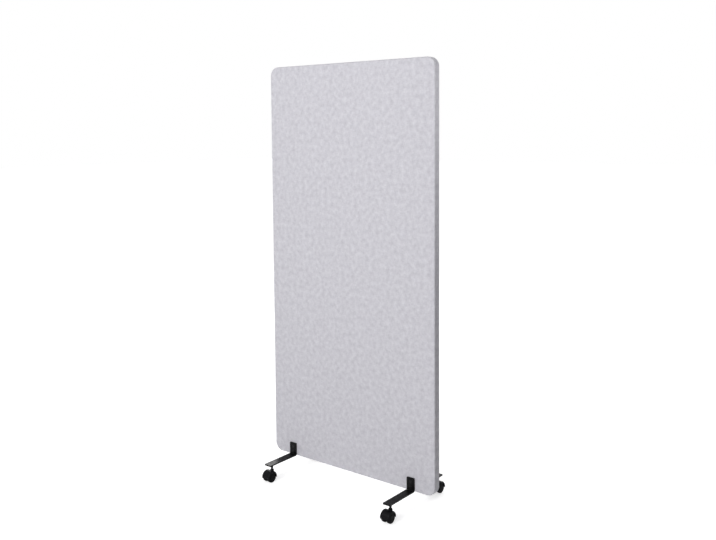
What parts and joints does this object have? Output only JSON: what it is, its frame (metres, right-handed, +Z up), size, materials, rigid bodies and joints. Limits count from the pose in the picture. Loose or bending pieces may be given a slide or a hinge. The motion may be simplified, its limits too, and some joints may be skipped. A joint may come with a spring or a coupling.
{
  "type": "acoustic divider screen",
  "caption": "Upholstered acoustic divider screen on bent flat-bar feet with swivelling twin-wheel casters.",
  "frame": {"origin": "on the floor, under the middle of the panel", "axes": "+Z up, +X along the panel's width, the front face towards -Y"},
  "size_m": [0.762, 0.3584, 1.5875],
  "materials": {
    "cover_fabric": "woven light grey melange polyester, stretched",
    "padding": "thin polyester wadding",
    "felt": "needled polyester felt board",
    "absorber": "soft polyester-fibre sound absorber",
    "timber": "planed softwood",
    "black_powder_coat": "satin black powder coat on flat steel bar",
    "blackened_steel": "black oxide steel",
    "bright_steel": "drawn steel pin",
    "black_nylon": "moulded black nylon, fine satin",
    "black_wheel_nylon": "moulded black nylon wheel"
  },
  "bodies": {
    "screen": {"left_stile": "timber", "right_stile": "timber", "top_rail": "timber", "middle_rail": "timber", "bottom_rail": "timber", "frame_dowels": "timber", "upper_core": "absorber", "lower_core": "absorber", "front_felt_board": "felt", "rear_felt_board": "felt", "front_padding": "padding", "rear_padding": "padding", "front_cover": "cover_fabric", "rear_cover": "cover_fabric", "connector_bolts": "blackened_steel", "sleeve_nuts": "blackened_steel", "stem_bushes": "blackened_steel", "front_left_bracket": "black_powder_coat", "front_left_stem": "blackened_steel", "front_right_bracket": "black_powder_coat", "front_right_stem": "blackened_steel", "rear_left_bracket": "black_powder_coat", "rear_left_stem": "blackened_steel", "rear_right_bracket": "black_powder_coat", "rear_right_stem": "blackened_steel"},
    "front_left_caster": {"front_left_caster_housing": "black_nylon", "front_left_axle": "bright_steel"},
    "front_left_outer_wheel": {"front_left_outer_wheel": "black_wheel_nylon"},
    "front_left_inner_wheel": {"front_left_inner_wheel": "black_wheel_nylon"},
    "front_right_caster": {"front_right_caster_housing": "black_nylon", "front_right_axle": "bright_steel"},
    "front_right_outer_wheel": {"front_right_outer_wheel": "black_wheel_nylon"},
    "front_right_inner_wheel": {"front_right_inner_wheel": "black_wheel_nylon"},
    "rear_left_caster": {"rear_left_caster_housing": "black_nylon", "rear_left_axle": "bright_steel"},
    "rear_left_outer_wheel": {"rear_left_outer_wheel": "black_wheel_nylon"},
    "rear_left_inner_wheel": {"rear_left_inner_wheel": "black_wheel_nylon"},
    "rear_right_caster": {"rear_right_caster_housing": "black_nylon", "rear_right_axle": "bright_steel"},
    "rear_right_outer_wheel": {"rear_right_outer_wheel": "black_wheel_nylon"},
    "rear_right_inner_wheel": {"rear_right_inner_wheel": "black_wheel_nylon"}
  },
  "joints": [
    {"name": "front_left_swivel", "type": "hinge", "parent": "screen", "child": "front_left_caster", "pos_m": [-0.282, -0.1415, 0.0439], "axis": [0, 0, 1], "continuous": true},
    {"name": "front_left_outer_roll", "type": "hinge", "parent": "front_left_caster", "child": "front_left_outer_wheel", "pos_m": [-0.282, -0.1555, 0.02], "axis": [1, 0, 0], "continuous": true},
    {"name": "front_left_inner_roll", "type": "hinge", "parent": "front_left_caster", "child": "front_left_inner_wheel", "pos_m": [-0.282, -0.1555, 0.02], "axis": [1, 0, 0], "continuous": true},
    {"name": "front_right_swivel", "type": "hinge", "parent": "screen", "child": "front_right_caster", "pos_m": [0.282, -0.1415, 0.0439], "axis": [0, 0, 1], "continuous": true},
    {"name": "front_right_outer_roll", "type": "hinge", "parent": "front_right_caster", "child": "front_right_outer_wheel", "pos_m": [0.282, -0.1555, 0.02], "axis": [1, 0, 0], "continuous": true},
    {"name": "front_right_inner_roll", "type": "hinge", "parent": "front_right_caster", "child": "front_right_inner_wheel", "pos_m": [0.282, -0.1555, 0.02], "axis": [1, 0, 0], "continuous": true},
    {"name": "rear_left_swivel", "type": "hinge", "parent": "screen", "child": "rear_left_caster", "pos_m": [-0.282, 0.1415, 0.0439], "axis": [0, 0, 1], "continuous": true},
    {"name": "rear_left_outer_roll", "type": "hinge", "parent": "rear_left_caster", "child": "rear_left_outer_wheel", "pos_m": [-0.282, 0.1555, 0.02], "axis": [1, 0, 0], "continuous": true},
    {"name": "rear_left_inner_roll", "type": "hinge", "parent": "rear_left_caster", "child": "rear_left_inner_wheel", "pos_m": [-0.282, 0.1555, 0.02], "axis": [1, 0, 0], "continuous": true},
    {"name": "rear_right_swivel", "type": "hinge", "parent": "screen", "child": "rear_right_caster", "pos_m": [0.282, 0.1415, 0.0439], "axis": [0, 0, 1], "continuous": true},
    {"name": "rear_right_outer_roll", "type": "hinge", "parent": "rear_right_caster", "child": "rear_right_outer_wheel", "pos_m": [0.282, 0.1555, 0.02], "axis": [1, 0, 0], "continuous": true},
    {"name": "rear_right_inner_roll", "type": "hinge", "parent": "rear_right_caster", "child": "rear_right_inner_wheel", "pos_m": [0.282, 0.1555, 0.02], "axis": [1, 0, 0], "continuous": true}
  ]
}
